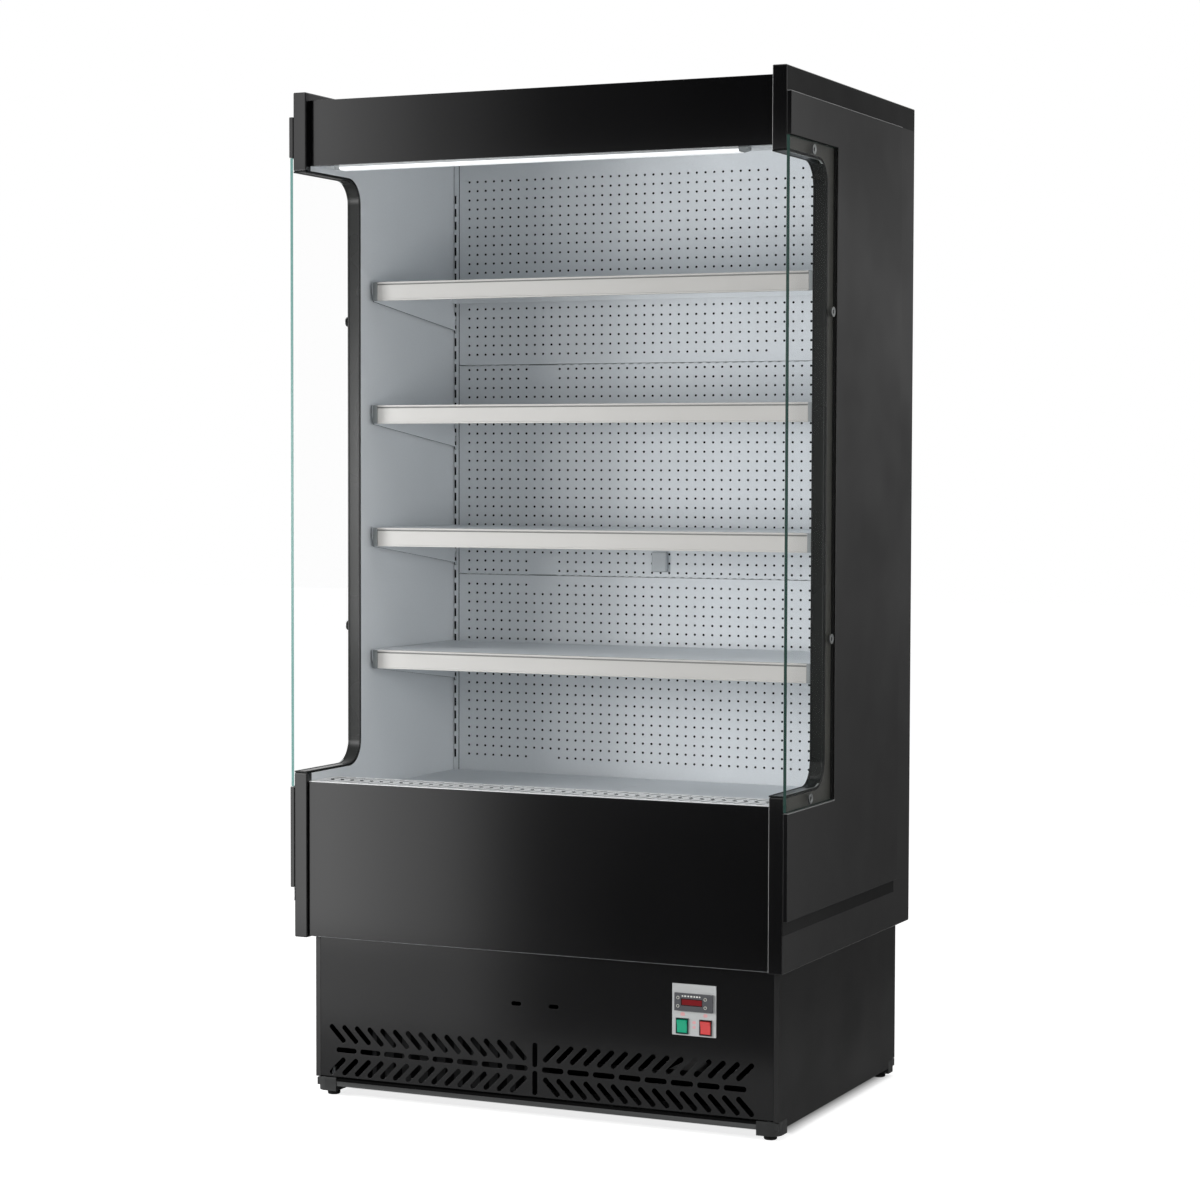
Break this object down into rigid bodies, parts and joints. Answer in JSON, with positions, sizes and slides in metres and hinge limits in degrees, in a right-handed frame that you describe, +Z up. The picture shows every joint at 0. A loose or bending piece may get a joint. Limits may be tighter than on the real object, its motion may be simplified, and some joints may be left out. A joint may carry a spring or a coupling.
{
  "type": "open multideck display fridge",
  "caption": "Tall open-front chilled display cabinet with tilting shelves, glass end windows, a rear air duct, lift-out decks and a fan-cooled machine base with controls.",
  "frame": {"origin": "on the floor at the middle of the footprint", "axes": "+Z up, the open front faces -Y, +X to the right of someone who faces the front"},
  "size_m": [1, 0.696, 1.888],
  "materials": {
    "black_gloss_panel": "gloss black paint",
    "black_satin": "satin black paint",
    "black_trim": "satin extruded edge profile",
    "white_liner": "smooth white coated sheet",
    "rail_grey": "warm light grey",
    "green_glass": "clear toughened pane with dark green edges",
    "lamp_white": "milky lamp cover",
    "galvanised": "plain galvanised sheet and fins",
    "motor_black": "satin black",
    "fan_plastic": "moulded",
    "silver_plate": "satin",
    "controller_grey": "fine grain",
    "key_pale": "fine grain",
    "switch_green": "translucent lens",
    "switch_red": "translucent lens",
    "foot_rubber": "moulded"
  },
  "bodies": {
    "cabinet": {"side_wall_left": "black_gloss_panel", "window_trim_left": "black_trim", "side_plate_left": "black_satin", "side_glass_left": "green_glass", "side_wall_right": "black_gloss_panel", "window_trim_right": "black_trim", "side_plate_right": "black_satin", "side_glass_right": "green_glass", "insulated_tub": "white_liner", "rear_wall": "black_satin", "roof_panel": "black_satin", "canopy_front": "black_gloss_panel", "lower_front_panel": "black_gloss_panel", "ceiling_panel": "white_liner", "led_lamp": "lamp_white", "upright_left": "white_liner", "upright_right": "white_liner", "duct_panel_bottom": "white_liner", "duct_panel_middle": "white_liner", "duct_panel_top": "white_liner", "evaporator_unit": "galvanised", "base_frame": "black_satin", "base_shell": "black_satin", "base_front_grille": "black_satin", "condenser": "galvanised", "compressor": "motor_black", "control_plate": "silver_plate", "controller": "controller_grey"},
    "shelf_1": {"shelf_pan_1": "white_liner", "shelf_bracket_1_left": "white_liner", "shelf_bracket_1_right": "white_liner", "shelf_rail_1": "rail_grey"},
    "shelf_2": {"shelf_pan_2": "white_liner", "shelf_bracket_2_left": "white_liner", "shelf_bracket_2_right": "white_liner", "shelf_rail_2": "rail_grey"},
    "shelf_3": {"shelf_pan_3": "white_liner", "shelf_bracket_3_left": "white_liner", "shelf_bracket_3_right": "white_liner", "shelf_rail_3": "rail_grey"},
    "shelf_4": {"shelf_pan_4": "white_liner", "shelf_bracket_4_left": "white_liner", "shelf_bracket_4_right": "white_liner", "shelf_rail_4": "rail_grey"},
    "foot_front_left": {"foot_front_left": "foot_rubber"},
    "foot_front_right": {"foot_front_right": "foot_rubber"},
    "foot_rear_left": {"foot_rear_left": "foot_rubber"},
    "foot_rear_right": {"foot_rear_right": "foot_rubber"},
    "evaporator_fan_left": {"evaporator_fan_left": "fan_plastic"},
    "deck_pan_left": {"deck_pan_left": "white_liner"},
    "evaporator_fan_right": {"evaporator_fan_right": "fan_plastic"},
    "deck_pan_right": {"deck_pan_right": "white_liner"},
    "condenser_fan": {"condenser_fan": "fan_plastic"},
    "return_air_grille": {"return_air_grille": "white_liner"},
    "button_up": {"button_up": "key_pale"},
    "button_down": {"button_down": "key_pale"},
    "button_light": {"button_light": "key_pale"},
    "button_set": {"button_set": "key_pale"},
    "rocker_green": {"rocker_green": "switch_green"},
    "rocker_red": {"rocker_red": "switch_red"}
  },
  "joints": [
    {"name": "shelf_1_tilt", "type": "hinge", "parent": "cabinet", "child": "shelf_1", "pos_m": [0, 0.252, 1.49315], "axis": [-1, 0, 0], "range_deg": [0, 12]},
    {"name": "shelf_2_tilt", "type": "hinge", "parent": "cabinet", "child": "shelf_2", "pos_m": [0, 0.252, 1.25555], "axis": [-1, 0, 0], "range_deg": [0, 12]},
    {"name": "shelf_3_tilt", "type": "hinge", "parent": "cabinet", "child": "shelf_3", "pos_m": [0, 0.252, 1.01795], "axis": [-1, 0, 0], "range_deg": [0, 12]},
    {"name": "shelf_4_tilt", "type": "hinge", "parent": "cabinet", "child": "shelf_4", "pos_m": [0, 0.252, 0.78035], "axis": [-1, 0, 0], "range_deg": [0, 12]},
    {"name": "deck_pan_left_lift", "type": "slide", "parent": "cabinet", "child": "deck_pan_left", "axis": [0, 0, 1], "range_m": [0, 0.05]},
    {"name": "deck_pan_right_lift", "type": "slide", "parent": "cabinet", "child": "deck_pan_right", "axis": [0, 0, 1], "range_m": [0, 0.05]},
    {"name": "return_air_grille_lift", "type": "slide", "parent": "cabinet", "child": "return_air_grille", "axis": [0, 0, 1], "range_m": [0, 0.05]},
    {"name": "foot_front_left_screw", "type": "slide", "parent": "cabinet", "child": "foot_front_left", "axis": [0, 0, -1], "range_m": [0, 0.015]},
    {"name": "foot_front_right_screw", "type": "slide", "parent": "cabinet", "child": "foot_front_right", "axis": [0, 0, -1], "range_m": [0, 0.015]},
    {"name": "foot_rear_left_screw", "type": "slide", "parent": "cabinet", "child": "foot_rear_left", "axis": [0, 0, -1], "range_m": [0, 0.015]},
    {"name": "foot_rear_right_screw", "type": "slide", "parent": "cabinet", "child": "foot_rear_right", "axis": [0, 0, -1], "range_m": [0, 0.015]},
    {"name": "evaporator_fan_left_spin", "type": "hinge", "parent": "cabinet", "child": "evaporator_fan_left", "pos_m": [-0.2, -0.2498, 0.44585], "axis": [0, 1, 0], "continuous": true},
    {"name": "evaporator_fan_right_spin", "type": "hinge", "parent": "cabinet", "child": "evaporator_fan_right", "pos_m": [0.2, -0.2498, 0.44585], "axis": [0, 1, 0], "continuous": true},
    {"name": "condenser_fan_spin", "type": "hinge", "parent": "cabinet", "child": "condenser_fan", "pos_m": [-0.205, -0.19, 0.1473], "axis": [0, 1, 0], "continuous": true},
    {"name": "button_up_press", "type": "slide", "parent": "cabinet", "child": "button_up", "axis": [0, 1, 0], "range_m": [0, 0.0008], "stiffness_N_per_m": 200, "springref_m": -0.0008},
    {"name": "button_down_press", "type": "slide", "parent": "cabinet", "child": "button_down", "axis": [0, 1, 0], "range_m": [0, 0.0008], "stiffness_N_per_m": 200, "springref_m": -0.0008},
    {"name": "button_light_press", "type": "slide", "parent": "cabinet", "child": "button_light", "axis": [0, 1, 0], "range_m": [0, 0.0008], "stiffness_N_per_m": 200, "springref_m": -0.0008},
    {"name": "button_set_press", "type": "slide", "parent": "cabinet", "child": "button_set", "axis": [0, 1, 0], "range_m": [0, 0.0008], "stiffness_N_per_m": 200, "springref_m": -0.0008},
    {"name": "rocker_green_tilt", "type": "hinge", "parent": "cabinet", "child": "rocker_green", "pos_m": [0.2853, -0.3046, 0.1946], "axis": [-1, 0, 0], "range_deg": [0, 16]},
    {"name": "rocker_red_tilt", "type": "hinge", "parent": "cabinet", "child": "rocker_red", "pos_m": [0.3307, -0.3046, 0.1946], "axis": [-1, 0, 0], "range_deg": [0, 16]}
  ]
}
